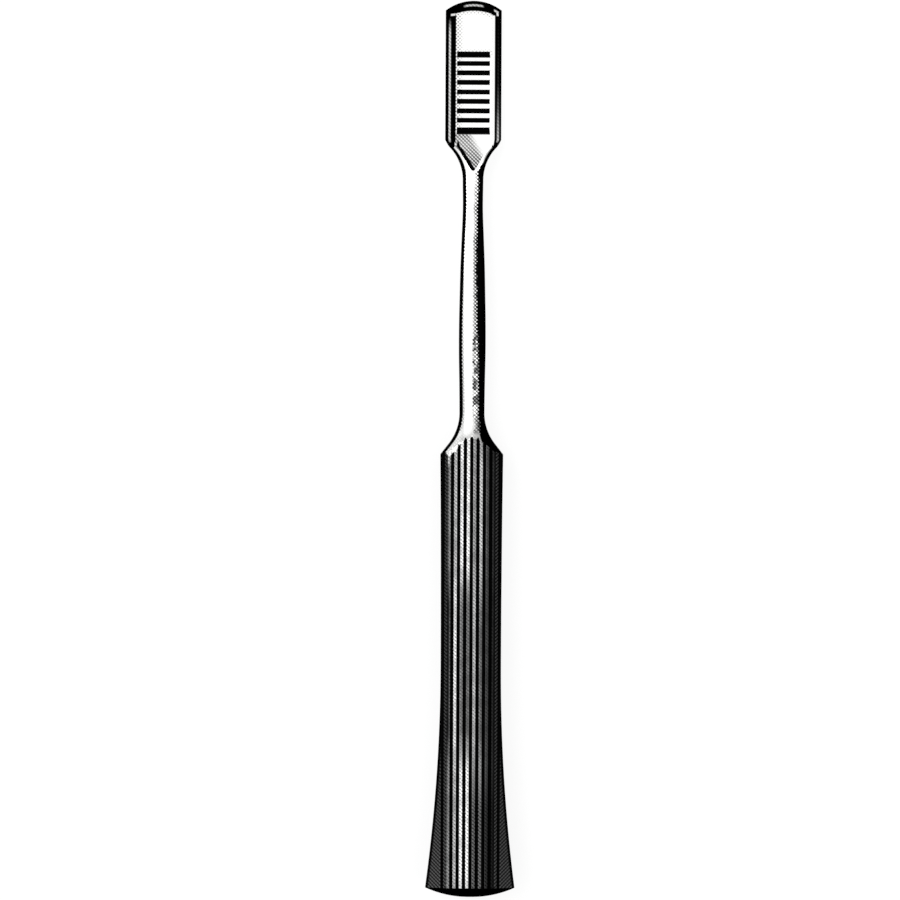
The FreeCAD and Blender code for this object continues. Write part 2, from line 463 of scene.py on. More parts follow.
@dataclass
class Handle:
    """The handle: a fluted, flattened octagon, turned to a cone at the shaft and crowned at the butt."""

    start: float = 108.9
    end: float = 212.6
    waist: float = 160.0
    top_width: float = 15.04
    waist_width: float = 14.44
    butt_width: float = 21.36
    top_thickness: float = 9.4
    waist_thickness: float = 9.0
    butt_thickness: float = 12.0
    top_side: float = 4.4
    butt_side: float = 5.6
    cone_angle: float = math.radians(38.0)
    cone_radius: float = 12.0
    crown_height: float = 2.4
    crown_flat: float = 0.05
    shaft_radius: float = 3.0
    flute_count: int = 7
    flute_pitch: float = 1.525
    flute_width: float = 0.86
    flute_depth: float = 0.42
    edge_flute_inset: float = 0.49
    flute_steps: int = 8
    rim: float = 0.05
    settling_rounds: int = 8
    cone_shares: Shares = ((), (0.0, 0.97, 44), (0.988, 1.0))
    bar_shares: Shares = ((0.0, 0.0006, 0.002, 0.005), (0.01, 0.995, 64), (0.9985, 0.9995, 1.0))
    crown_shares: Shares = ((1.0, 0.993, 0.975), (0.94, 0.0, 15), ())

    @property
    def half_panel(self) -> float:
        """Half the width of the flat front panel."""
        return self.flute_count * self.flute_pitch / 2

    @property
    def arc_end_radius(self) -> float:
        """The cone's radius where its arc ends."""
        return self.shaft_radius + self.cone_radius * (1 - math.cos(self.cone_angle))

    @property
    def cone_start(self) -> float:
        """The station where the round shaft begins to open into the cone."""
        straight = (self.top_width / 2 - self.arc_end_radius) / math.tan(self.cone_angle)
        return self.start - straight - self.cone_radius * math.sin(self.cone_angle)

    def form(self, station: Measure) -> tuple[np.ndarray, np.ndarray, np.ndarray]:
        """Half width, half thickness and half side height: squares of the run from the waist, and a line.

        Args:
            station: Stations along the handle.

        Returns:
            The three half sizes.
        """
        run = np.asarray(station) - self.waist
        upper = run < 0
        sweep = np.where(upper, run / (self.waist - self.start), run / (self.end - self.waist)) ** 2
        width = mix(self.waist_width, np.where(upper, self.top_width, self.butt_width), sweep)
        thickness = mix(self.waist_thickness, np.where(upper, self.top_thickness, self.butt_thickness), sweep)
        side = mix(self.top_side, self.butt_side, (station - self.start) / (self.end - self.start))
        return width / 2, thickness / 2, side / 2

    def cone_at(self, station: np.ndarray) -> np.ndarray:
        """The cone's radius at a station: an arc that leaves the shaft, then a straight slope.

        Args:
            station: Stations from the cone's start on.

        Returns:
            The radii.
        """
        run = np.maximum(station - self.cone_start, 0)
        arc_run = self.cone_radius * math.sin(self.cone_angle)
        arc = self.shaft_radius + arc_rise(self.cone_radius, np.minimum(run, arc_run))
        return arc + np.maximum(run - arc_run, 0) * math.tan(self.cone_angle)

    def cone_station(self, radius: np.ndarray) -> np.ndarray:
        """The station where the cone has a radius, which undoes the arc and the slope.

        Args:
            radius: Radii from the shaft's on.

        Returns:
            The stations.
        """
        arc_height = np.clip(radius, self.shaft_radius, self.arc_end_radius) - self.shaft_radius
        arc_run = np.sqrt(arc_height * (2 * self.cone_radius - arc_height))
        slope_run = np.maximum(radius - self.arc_end_radius, 0) / math.tan(self.cone_angle)
        return self.cone_start + arc_run + slope_run

    def crown_station(self, across: np.ndarray, height: np.ndarray) -> np.ndarray:
        """The crowned end's station: four arcs across the pairs of facets, the lowest of which holds.

        Args:
            across: Distances across the axis.
            height: Distances above the axis.

        Returns:
            The stations.
        """
        half_width, half_thickness, half_side = (float(size) for size in self.form(self.end))
        lean = math.atan2(half_width - self.half_panel, half_thickness - half_side)
        facet_span = self.half_panel * math.cos(lean) + half_thickness * math.sin(lean)
        arcs = [(half_width, 0.0), (half_thickness, math.pi / 2), (facet_span, lean), (facet_span, -lean)]
        rises = []
        for span, turn in arcs:
            reach = np.abs(across * math.cos(turn) + height * math.sin(turn))
            rises.append(arc_rise(arc_through(self.crown_height, span), reach))
        rise = np.maximum(np.max(rises, axis=0), self.crown_flat)
        return self.end + self.crown_height - rise

    def corners(self, station: np.ndarray) -> list[Pair]:
        """The octagon's corners (across, height), round from the upper end of the right-hand side."""
        wide, thick, side = self.form(station)
        panel = np.full_like(wide, self.half_panel)
        right = [(wide, side), (panel, thick), (-panel, thick), (-wide, side)]
        return right + [(-across, -height) for across, height in right]

    def marks(self, index: int, station: np.ndarray) -> list[np.ndarray]:
        """The distances along a facet at which its lands and flutes meet, from one corner to the next.

        Args:
            index: The facet's number, counted from the upper right slope.
            station: The stations at which they are wanted.

        Returns:
            The distances in rising order, each spread over the stations.
        """
        corners = self.corners(station)
        (start_x, start_z), (end_x, end_z) = corners[index], corners[(index + 1) % FACETS]
        length = np.hypot(end_x - start_x, end_z - start_z)
        slope = length / np.maximum(np.abs(end_x - start_x), LEAST_RUN)
        edge = min(self.top_width, self.waist_width) / 2 - self.edge_flute_inset
        middle = (self.flute_count - 1) / 2
        centres = {
            0: [(np.abs(start_x) - edge) * slope],
            1: [self.half_panel + (step - middle) * self.flute_pitch for step in range(self.flute_count)],
            2: [(edge - self.half_panel) * slope],
            3: [],
        }[index % 4]
        half = self.flute_width / 2
        inner = [mark + length * 0 for centre in centres for mark in (centre - half, centre + half)]
        return [length * 0, *inner, length]

    def column_table(self, index: int) -> np.ndarray:
        """The columns of one facet as rows of (first mark, share of the way to the next mark, depth).

        A flute is a hollow whose depth is half of one less the cosine of its share of a full turn.

        Args:
            index: The facet's number.

        Returns:
            The table, without the facet's last corner, which is the next facet's first.
        """
        gaps = {0: 3, 1: 2 * self.flute_count + 1, 2: 3, 3: 1}[index % 4]
        table = []
        for gap in range(gaps):
            if gap % 2:
                share = np.linspace(0, 1, self.flute_steps + 1)[:-1]
                depth = self.flute_depth * (1 - np.cos(2 * np.pi * share)) / 2
            else:
                share = edged(2, self.rim)[:-1] if gaps <= 3 else edged(1, 2 * self.rim)[:-1]
                depth = share * 0
            table.append(np.stack([share * 0 + gap, share, depth], axis=-1))
        return np.concatenate(table)

    def ring(self, station: np.ndarray) -> Pair:
        """The fluted section's (across, height) at a grid of stations, one column for each of its points.

        Args:
            station: Rows by columns of stations.

        Returns:
            The two grids.
        """
        tables = [self.column_table(index) for index in range(FACETS)]
        across, height = np.zeros_like(station), np.zeros_like(station)
        first = 0
        for index, table in enumerate(tables):
            here = slice(first, first + len(table))
            first += len(table)
            part = station[:, here]
            corners = self.corners(part)
            (start_x, start_z), (end_x, end_z) = corners[index], corners[(index + 1) % FACETS]
            marks = np.stack(self.marks(index, part))
            gap = table[:, 0].astype(int)
            columns = np.arange(len(table))
            low, high = marks[gap, :, columns].T, marks[gap + 1, :, columns].T
            along = mix(low, high, table[:, 1]) / marks[-1]
            length = marks[-1]
            inward_x, inward_z = -(end_z - start_z) / length, (end_x - start_x) / length
            across[:, here] = mix(start_x, end_x, along) + inward_x * table[:, 2]
            height[:, here] = mix(start_z, end_z, along) + inward_z * table[:, 2]
        return across, height

    def settled(self, goal: str, guess: float) -> np.ndarray:
        """Where the fluted section meets the cone or the crown: each column's station, found by turns.

        Args:
            goal: "cone" or "crown".
            guess: The station to start from.

        Returns:
            One row of stations.
        """
        count = sum(len(self.column_table(index)) for index in range(FACETS))
        station = np.full((1, count), guess)
        for _ in range(self.settling_rounds):
            across, height = self.ring(station)
            if goal == "cone":
                station = self.cone_station(np.hypot(across, height))
            else:
                station = self.crown_station(across, height)
        return station

    def patches(self) -> list[Patch]:
        """The cone, the fluted bar and the crowned end, each as one closed run of columns."""
        crease, rim = self.settled("cone", self.start), self.settled("crown", self.end)
        crease_x, crease_z = in_turn(*self.ring(crease))
        rim_x, rim_z = in_turn(*self.ring(rim))
        rim = self.crown_station(rim_x, rim_z)
        station = mix(self.cone_start, crease, crowded(self.cone_shares))
        crease_radius = np.hypot(crease_x, crease_z)
        shrink = self.cone_at(station) / crease_radius
        share = np.abs(crease_x) / crease_radius
        cone = patch(crease_x * shrink, station, crease_z * shrink, share, Finish.POLISHED_SHAFT)
        station = mix(crease, rim, crowded(self.bar_shares))
        across, height = self.ring(station)
        across[0], height[0], across[-1], height[-1] = crease_x, crease_z, rim_x, rim_z
        bar = patch(across, station, height, self.form(station)[0] - abs(across), Finish.RUBBED_HANDLE)
        shrink = crowded(self.crown_shares)
        across, height = rim_x * shrink, rim_z * shrink
        # The crowned end is painted black, as shade.
        crown = patch(across, self.crown_station(across, height), height, across, Finish.BLACKENED_END)
        return [closed(each) for each in (cone, bar, crown)]


def in_turn(across: np.ndarray, height: np.ndarray) -> Pair:
    """A ring's points at their own radii, with their angles put in rising order, so that no flute's wall
    leans back over its hollow when the ring is drawn in towards the axis.

    Args:
        across: One row of distances across the axis.
        height: One row of distances above it.

    Returns:
        The two rows of the new ring.
    """
    radius = np.hypot(across, height)
    angle = np.sort(np.unwrap(np.arctan2(height, across)), axis=1)
    return radius * np.cos(angle), radius * np.sin(angle)


def closed(open_patch: Patch) -> Patch:
    """The same patch with its first column repeated after its last."""
    points = np.concatenate([open_patch.points, open_patch.points[:, :1]], axis=1)
    surface = np.concatenate([open_patch.surface, open_patch.surface[:, :1]], axis=1)
    return Patch(points, surface, open_patch.finish)


def round_the_axis(points: np.ndarray) -> np.ndarray:
    """The points of a ring in the order of their angle about the axis, each once."""
    angle = np.arctan2(points[:, 2], points[:, 0])
    _, order = np.unique(np.round(angle, ANGLE_DIGITS), return_index=True)
    return points[order]


def bridge(first: np.ndarray, second: np.ndarray) -> np.ndarray:
    """The triangles between two rings: the points of both are met in the order of their angle, and each
    one closes a triangle with the point before it on its own ring and the last one met on the other.

    Args:
        first: The first ring's points, in order.
        second: The second ring's points, in order.

    Returns:
        Corner numbers; the second ring's follow on from the first ring's.
    """
    rings = [np.arctan2(ring[:, 2], ring[:, 0]) for ring in (first, second)]
    count = len(first)
    order = np.argsort(np.concatenate(rings), kind="stable")
    on_first = order < count
    last_first = np.maximum.accumulate(np.where(on_first, order, -1))
    last_second = np.maximum.accumulate(np.where(on_first, -1, order))
    last_first[last_first < 0] = count - 1
    last_second[last_second < 0] = count + len(second) - 1
    before_first, before_second = np.roll(last_first, 1), np.roll(last_second, 1)
    return np.where(
        on_first[:, None],
        np.stack([before_first, last_first, before_second], axis=-1),
        np.stack([before_second, last_second, before_first], axis=-1),
    )


@dataclass
class Skin:
    """The instrument's skin: patches and bands in millimetres, welded into one mesh."""

    points: list[np.ndarray] = field(default_factory=list)
    corners: list[np.ndarray] = field(default_factory=list)
    surface: list[np.ndarray] = field(default_factory=list)
    finishes: list[np.ndarray] = field(default_factory=list)
    count: int = 0

    def add_patch(self, grid: Patch) -> None:
        """Takes in a patch as quads.

        Args:
            grid: The patch.
        """
        rows, columns = grid.points.shape[:2]
        numbers = np.arange(rows * columns).reshape(rows, columns)
        quads = np.stack([numbers[:-1, :-1], numbers[:-1, 1:], numbers[1:, 1:], numbers[1:, :-1]], axis=-1)
        self.add(grid.points.reshape(-1, 3), quads.reshape(-1, 4), grid.surface.reshape(-1, 2), grid.finish)

    def add(
        self, points: np.ndarray, corners: np.ndarray, surface: np.ndarray, finish: Finish | np.ndarray
    ) -> None:
        """Takes in points and the faces between them.

        Args:
            points: The points.
            corners: The corner numbers of each face.
            surface: The UV map's value at each point.
            finish: The finish of the faces, or one for each.
        """
        self.points.append(points)
        self.corners.append(corners + self.count)
        self.surface.append(surface)
        self.finishes.append(np.broadcast_to(np.ravel(finish).astype(int), len(corners)))
        self.count += len(points)

    def mesh(self, name: str, lying: "Lying") -> bpy.types.Mesh:
        """The welded mesh, laid down in the frame.

        Args:
            name: The mesh's name.
            lying: How the instrument lies.

        Returns:
            The mesh.
        """
        points = lying.laid(np.concatenate(self.points)) * MILLIMETRE
        faces = [face for block in self.corners for face in block.tolist()]
        mesh = bpy.data.meshes.new(name)
        mesh.from_pydata(points.tolist(), [], faces)
        mesh.polygons.foreach_set("material_index", np.concatenate(self.finishes).astype(np.int32))
        layer = mesh.uv_layers.new(name=UV_MAP)
        owners = np.zeros(len(mesh.loops), dtype=np.int32)
        mesh.loops.foreach_get("vertex_index", owners)
        layer.data.foreach_set("uv", np.concatenate(self.surface)[owners].astype(np.float32).ravel())
        shell = bmesh.new()
        shell.from_mesh(mesh)
        bmesh.ops.remove_doubles(shell, verts=shell.verts, dist=WELD_DISTANCE)
        bmesh.ops.recalc_face_normals(shell, faces=shell.faces)
        gaps = sum(1 for edge in shell.edges if not edge.is_manifold)
        counts = (len(shell.verts), len(shell.faces), gaps)
        log.info("%s: %d points, %d faces, %d open or shared edges", name, *counts)
        shell.to_mesh(mesh)
        shell.free()
        mesh.shade_smooth()
        return mesh


@dataclass
class Lying:
    """How the instrument lies: its tilt about the crosswise axis, then its place in the CAD box."""

    handle: Handle
    shift: np.ndarray = field(default_factory=lambda: np.zeros(3))

    @property
    def tilt(self) -> float:
        """The turn that lets the handle rest at its rim and at the top of its cone."""
        handle = self.handle
        top_run = handle.top_thickness / 2 - handle.shaft_radius
        top = handle.cone_start + math.sqrt(2 * handle.cone_radius * top_run - top_run**2)
        drop = float(handle.form(handle.end)[1] - handle.form(top)[1])
        return -math.atan2(drop, handle.end - top)

    def turned(self, points: np.ndarray) -> np.ndarray:
        """Points of (across, station, height) turned by the tilt, with the tip towards +Y."""
        along, height = -points[:, 1], points[:, 2]
        cosine, sine = math.cos(self.tilt), math.sin(self.tilt)
        turned = (along * cosine - height * sine, along * sine + height * cosine)
        return np.stack([points[:, 0], *turned], axis=-1)

    def fit(self, points: np.ndarray) -> None:
        """Finds the shift that puts the skin's box in the middle and at the foot of the CAD box.

        Args:
            points: Every point of the skin.
        """
        turned = self.turned(points)
        low, high = turned.min(axis=0), turned.max(axis=0)
        cad_foot, cad_top = (np.array(corner) / MILLIMETRE for corner in (cad_low, cad_high))
        self.shift = (cad_foot + cad_top) / 2 - (low + high) / 2
        self.shift[2] = cad_foot[2] - low[2]

    def laid(self, points: np.ndarray) -> np.ndarray:
        """Points in the frame, still in millimetres."""
        return self.turned(points) + self.shift


def build_skin() -> bpy.types.Mesh:
    """Works out every patch of the instrument and welds them.

    Returns:
        The mesh of the whole instrument.
    """
    blade, handle = Blade(), Handle()
    shaft = Shaft(start=blade.neck_station, end=handle.cone_start)
    skin = Skin()
    neck = blade.section(np.array([blade.neck_station]))
    side = (neck["bevel_top"][0][0] / neck["oval"][0][0], neck["bevel_top"][1][0] / neck["oval"][1][0])
    halves = blade.patches() + shaft.patches(math.atan2(side[1], side[0]))
    for half in halves:
        skin.add_patch(half)
        skin.add_patch(half.mirrored())
    cone, bar, crown = handle.patches()
    for round_patch in (cone, bar, crown):
        skin.add_patch(round_patch)
    end_rows = [half.points[-1] * sign for half in halves[-2:] for sign in (1, MIRROR)]
    shaft_ring = round_the_axis(np.concatenate(end_rows))
    cone_ring = round_the_axis(cone.points[0])
    points = np.concatenate([shaft_ring, cone_ring])
    across = abs(points[:, 0]) / np.hypot(points[:, 0], points[:, 2])
    surface = np.stack([across, points[:, 1]], axis=-1)
    skin.add(points, bridge(shaft_ring, cone_ring), surface, Finish.POLISHED_SHAFT)
    lying = Lying(handle)
    lying.fit(np.concatenate(skin.points))
    return skin.mesh(NODE + "_steel", lying)


# BRIGHT is polished steel and also the colour of painted highlights; BLACK is the colour of painted shade.
BRIGHT = "#fbfbfa"
PLAIN = "#ececea"
BLACK = "#040404"
WHITE = "#ffffff"
RISE_AND_FALL = (0.0, 1.0, 1.0, 0.0)

Socket = bpy.types.NodeSocket
Number = Union["Value", float]
Colour = Union["Value", str]
# Where a share is 0 and where it is 1, and what it is in between eases from one to the other.
Span = tuple[float, float]
# Where a share leaves 0, reaches 1, leaves 1 and is back at 0.
Window = tuple[float, float, float, float]
# Values in rising order, each with its number or its hex shade.
Stops = tuple[tuple[float, float | str], ...]


def to_linear(colour: str) -> tuple[float, float, float, float]:
    """An sRGB hex value as a linear colour: a straight foot, then a power of 2.4.

    Args:
        colour: Six hex digits after a hash.

    Returns:
        Red, green, blue and an alpha of 1.
    """
    parts = [int(colour[index : index + 2], 16) / 255 for index in (1, 3, 5)]
    return (*(part / 12.92 if part <= 0.04045 else ((part + 0.055) / 1.055) ** 2.4 for part in parts), 1.0)


def add_node(
    tree: bpy.types.NodeTree, kind: str, inputs: dict[str | int, object], **settings: object
) -> bpy.types.Node:
    """Adds a node, sets its properties, and fills or links its inputs.

    Args:
        tree: The tree that gets the node.
        kind: The node's type, without the word that all types start with.
        inputs: A value to link, or a constant or hex shade to set, for each input by name or number.
        settings: The node's own properties.

    Returns:
        The node.
    """
    node = tree.nodes.new("ShaderNode" + kind)
    for name, value in settings.items():
        setattr(node, name, value)
    for name, value in inputs.items():
        if isinstance(value, Value):
            tree.links.new(value.socket, node.inputs[name])
        else:
            node.inputs[name].default_value = to_linear(value) if isinstance(value, str) else value
    return node


def cleared_tree(owner: bpy.types.Material | bpy.types.World) -> bpy.types.NodeTree:
    """The owner's node tree, turned on and emptied."""
    owner.use_nodes = True
    owner.node_tree.nodes.clear()
    return owner.node_tree


@dataclass(frozen=True)
class Value:
    """A number or a colour that changes over a surface. Sums on it are written as in a formula."""

    socket: Socket

    @property
    def tree(self) -> bpy.types.NodeTree:
        """The tree that the value belongs to."""
        return self.socket.id_data

    def joined(self, operation: str, *others: Number) -> "Value":
        """The value joined to others by one operation, from left to right.

        Args:
            operation: A sum such as MULTIPLY, or one on the value alone, such as SINE.
            others: The numbers that are joined to it; none where it stands alone.

        Returns:
            The result.
        """
        result = self
        for other in others or (0.0,):
            node = add_node(self.tree, "Math", {0: result, 1: other}, operation=operation)
            result = Value(node.outputs[0])
        return result

    def __add__(self, other: Number) -> "Value":
        """The value plus another."""
        return self.joined("ADD", other)

    def __sub__(self, other: Number) -> "Value":
        """The value less another."""
        return self.joined("SUBTRACT", other)

    def __rsub__(self, other: float) -> "Value":
        """A constant less the value."""
        return self * -1.0 + other

    def __mul__(self, other: Number) -> "Value":
        """The value times another."""
        return self.joined("MULTIPLY", other)

    def __truediv__(self, other: Number) -> "Value":
        """The value divided by another."""
        return self.joined("DIVIDE", other)

    def __abs__(self) -> "Value":
        """The value without its sign."""
        return self.joined("ABSOLUTE")

    def eased(self, span: Span) -> "Value":
        """A share that eases from 0 to 1 as the value goes from one end of a span to the other.

        Args:
            span: Where the share is 0 and where it is 1. The second may be the lower one.

        Returns:
            The share.
        """
        start, end = span
        inputs = {"Value": self, "From Min": min(span), "From Max": max(span)}
        inputs |= {"To Min": float(start > end), "To Max": float(start < end)}
        return Value(add_node(self.tree, "MapRange", inputs, interpolation_type="SMOOTHSTEP").outputs[0])

    def inside(self, window: Window) -> "Value":
        """A share that is 1 inside the window and 0 outside it, with eased edges."""
        return self.eased(window[:2]) * self.eased(window[:1:-1])

    def profile(self, stops: Stops) -> "Value":
        """A number or a colour for each value: chosen ones at the stops, blended evenly in between.

        Args:
            stops: The stops. Numbers above 1 are scaled down for the ramp and back up after it.

        Returns:
            The number, or the colour.
        """
        low, high = stops[0][0], stops[-1][0]
        scale = max([1.0, *(level for _, level in stops if not isinstance(level, str))])
        node = add_node(self.tree, "ValToRGB", {0: (self - low) / (high - low)})
        elements = node.color_ramp.elements
        while len(elements) < len(stops):
            elements.new(1.0)
        for element, (stop, level) in zip(elements, stops):
            element.position = (stop - low) / (high - low)
            element.color = to_linear(level) if isinstance(level, str) else (*(level / scale,) * 3, 1.0)
        result = Value(node.outputs[0])
        return result * scale if scale > 1 else result


def highest(first: Value, *others: Value) -> Value:
    """The highest of several numbers."""
    return first.joined("MAXIMUM", *others)


def layered(base: Colour, *coats: tuple[Value, Colour]) -> Value:
    """Coats of colour, each laid over the ones before it as thickly as its share says.

    Args:
        base: The colour under all the coats.
        coats: The share and the colour of each coat, from the bottom up.

    Returns:
        The colour on top.
    """
    for share, colour in coats:
        blend = add_node(share.tree, "Mix", {0: share, 6: base, 7: colour}, data_type="RGBA")
        base = Value(blend.outputs[2])
    return base


@dataclass(frozen=True)
class Place:
    """Where a point of the surface lies, in millimetres apart from the first.

    Attributes:
        where: The place in the frame, in metres.
        across: The distance across the frame, to the right.
        along: The distance along it, towards the tip.
        inwards: The first number of the skin's UV map, which is a patch's own.
        station: The second one: the distance from the tip.
    """

    where: Value
    across: Value
    along: Value
    inwards: Value
    station: Value

    @classmethod
    def on(cls, tree: bpy.types.NodeTree) -> "Place":
        """The place on the surface that a tree's material covers."""
        where = Value(add_node(tree, "TexCoord", {}).outputs["Object"])
        surface = Value(add_node(tree, "UVMap", {}, uv_map=UV_MAP).outputs[0])
        frame_part, surface_part = (
            [Value(part) for part in add_node(tree, "SeparateXYZ", {0: whole}).outputs]
            for whole in (where, surface)
        )
        across, along = (part / MILLIMETRE for part in frame_part[:2])
        return cls(where, across, along, surface_part[0], surface_part[1])

    @property
    def left(self) -> Value:
        """1 on the left half and 0 on the right one."""
        return self.across.joined("LESS_THAN", 0.0)

    @property
    def right(self) -> Value:
        """1 on the right half and 0 on the left one."""
        return 1.0 - self.left

    @property
    def aside(self) -> Value:
        """The distance from the middle, to either side."""
        return abs(self.across)

    def clouds(self, size: float, detail: float) -> Value:
        """A number from 0 to 1 that changes in clouds of a size, with a detail of finer ones in them."""
        noise = {"Vector": self.where, "Scale": 1 / (size * MILLIMETRE), "Detail": detail}
        return Value(add_node(self.where.tree, "TexNoise", noise).outputs["Fac"])


@dataclass(frozen=True)
class Steel:
    """What all the instrument's finishes share: one stainless steel, with its own grind on each part.

    Sizes, and the places that spans, windows and stops name, are in millimetres.

    Attributes:
        name: The finish's plain name.
        roughness: How the surface scatters light, from the grit that it was finished with.
        variation: The share by which the grinding lines make it rougher or smoother.
        grain: The spacing of the grinding lines.
        grain_run: How much longer a line is than the spacing, along each axis.
        grain_detail: How many finer sizes of line lie within the coarse ones.
        relief: The height of the lines.
        relief_strength: How much of the height the eye sees.
        marks: The distance between the crossed lines of the hatching in the painted light and shade, drawn
        as the crossed marks of the last hand grind. Real ones are about a third of it apart, too fine to show
        from as far off as the camera stands.
    """

    name: str
    roughness: float = 0.22
    variation: float = 0.2
    grain: float = 0.12
    grain_run: tuple[float, float, float] = (1.0, 30.0, 1.0)
    grain_detail: float = 3.0
    relief: float = 0.0006
    relief_strength: float = 0.5
    marks: float = 0.62

    def shade(self, place: Place) -> Colour:
        """Light steel all over; each finish has its own base colour."""
        return PLAIN

    def painted_hatch(self, across: Value, along: Value, second: float) -> Value:
        """Fine diagonal hatching in painted light and shade: a wave down to the right, times a weaker one
        down to the left.

        Args:
            across: The distance across the surface.
            along: The distance along it.
            second: How much of the second wave there is: 0 for plain lines, 1 for dots.

        Returns:
            A number from 0 to 1.
        """
        step = 2 * math.pi / self.marks * math.sqrt(0.5)
        first, other = (
            (turn * step).joined("SINE") * 0.5 + 0.5 for turn in (across + along, across - along)
        )
        return first * (other * second + (1.0 - second))

    def material(self) -> bpy.types.Material:
        """The finish as a material: a metal whose roughness and relief follow its grinding lines.

        Returns:
            The material.
        """
        material = bpy.data.materials.new(self.name)
        tree = cleared_tree(material)
        place = Place.on(tree)
        spacing = tuple(1 / (self.grain * MILLIMETRE * run) for run in self.grain_run)
        stretched = add_node(tree, "Mapping", {"Vector": place.where, "Scale": spacing}).outputs[0]
        noise = {"Vector": Value(stretched), "Scale": 1.0, "Detail": self.grain_detail}
        lines = Value(add_node(tree, "TexNoise", noise).outputs["Fac"])
        rough = lines * (2 * self.variation * self.roughness) + (1 - self.variation) * self.roughness
        raised = {"Height": lines, "Strength": self.relief_strength, "Distance": self.relief * MILLIMETRE}
        bump = Value(add_node(tree, "Bump", raised).outputs[0])
        # The colour holds each finish's painted light and shade; as the specular tint it also darkens the
        # edge reflections, so painted black stays black at a glancing view.
        colour = self.shade(place)
        look = {"Base Color": colour, "Specular Tint": colour, "Metallic": 1.0, "Roughness": rough}
        metal = add_node(tree, "BsdfPrincipled", look | {"Normal": bump})
        add_node(tree, "OutputMaterial", {"Surface": Value(metal.outputs[0])})
        return material


@dataclass(frozen=True)
class PolishedFace(Steel):
    """Stainless steel, ground flat and polished: near white, with painted shade in crossed marks.

    The eye gets painted shade: a dotted border round the upper left, a hatched tongue, and black in the
    crease at the tongue's left, at the tip's rim and beside the first and last groove.
    """

    # The dark grey of the dots and hatching of painted shade.
    painted_shading: str = "#262626"
    left_border: Span = (-2.1, -3.9)
    left_border_end: Span = (33.0, 31.0)
    tip_border: Span = (3.9, 2.7)
    tip_border_bow: float = 0.061
    tip_border_level: float = 0.7
    groove_border: Window = (11.6, 12.4, 13.2, 13.4)
    groove_border_level: float = 0.5
    tongue_start: Span = (31.8, 32.6)
    tongue_side: Span = (1.0, -1.2)
    tongue_slant: float = 0.55
    tongue_offset: float = -18.4
    tongue_level: Stops = ((32.0, 1.0), (34.5, 0.8), (38.5, 1.0))
    tongue_crossing: float = 0.6
    crease_start: Span = (33.6, 34.0)
    crease_middle: Stops = ((33.6, 0.75), (35.6, 0.9), (37.3, 0.55), (40.6, 0.5))
    crease_half: Stops = ((33.6, 0.0), (34.8, 0.38), (37.0, 0.52), (40.3, 0.6), (41.3, 0.3))
    crease_edge: Span = (0.06, -0.06)
    left_edge: Span = (0.26, 0.16)
    left_edge_end: Span = (34.6, 34.0)
    # Painted shade beside the first and last groove, and how far across it reaches.
    painted_groove_shades: tuple[Window, Window] = ((13.2, 13.3, 13.8, 14.05), (31.4, 31.5, 32.2, 32.5))
    painted_groove_shade_reach: Span = (4.05, 3.95)
    rim: Span = (2.76, 2.6)
    rim_bow: float = 0.039

    def shade(self, place: Place) -> Colour:
        """White, then the painted shade of the border and tongue, then painted black lines and groove shade.
        """
        across, station, inwards = place.across, place.station, place.inwards
        bow = across * across
        # Painted shade: dots round the upper left, over the tip and ahead of the grooves, then hatching on
        # the tongue.
        left = across.eased(self.left_border) * station.eased(self.left_border_end)
        tip = (station - bow * self.tip_border_bow).eased(self.tip_border) * self.tip_border_level
        ahead = station.inside(self.groove_border) * self.groove_border_level
        border = highest(left, tip, ahead) * self.painted_hatch(across, place.along, 1.0)
        side = across - station * self.tongue_slant - self.tongue_offset
        tongue = station.eased(self.tongue_start) * side.eased(self.tongue_side)
        lines = 1.0 - self.painted_hatch(across, place.along, self.tongue_crossing)
        tongue *= station.profile(self.tongue_level) * lines
        # Painted black shade: the crease at the tongue's left, the left outline, beside the first and last
        # groove, and the tip's rim.
        # On the right half the left edge lies further off, by twice the distance across.
        from_left = inwards + across.joined("MAXIMUM", 0.0) * 2.0
        off = abs(from_left - station.profile(self.crease_middle)) - station.profile(self.crease_half)
        crease = off.eased(self.crease_edge) * station.eased(self.crease_start)
        edge = inwards.eased(self.left_edge) * place.left * station.eased(self.left_edge_end)
        painted_groove_shade = highest(*(station.inside(window) for window in self.painted_groove_shades))
        painted_groove_shade *= place.aside.eased(self.painted_groove_shade_reach)
        rim = (station - bow * self.rim_bow).eased(self.rim)
        dark = highest(crease, edge, painted_groove_shade, rim)
        return layered(BRIGHT, (highest(border, tongue), self.painted_shading), (dark, BLACK))


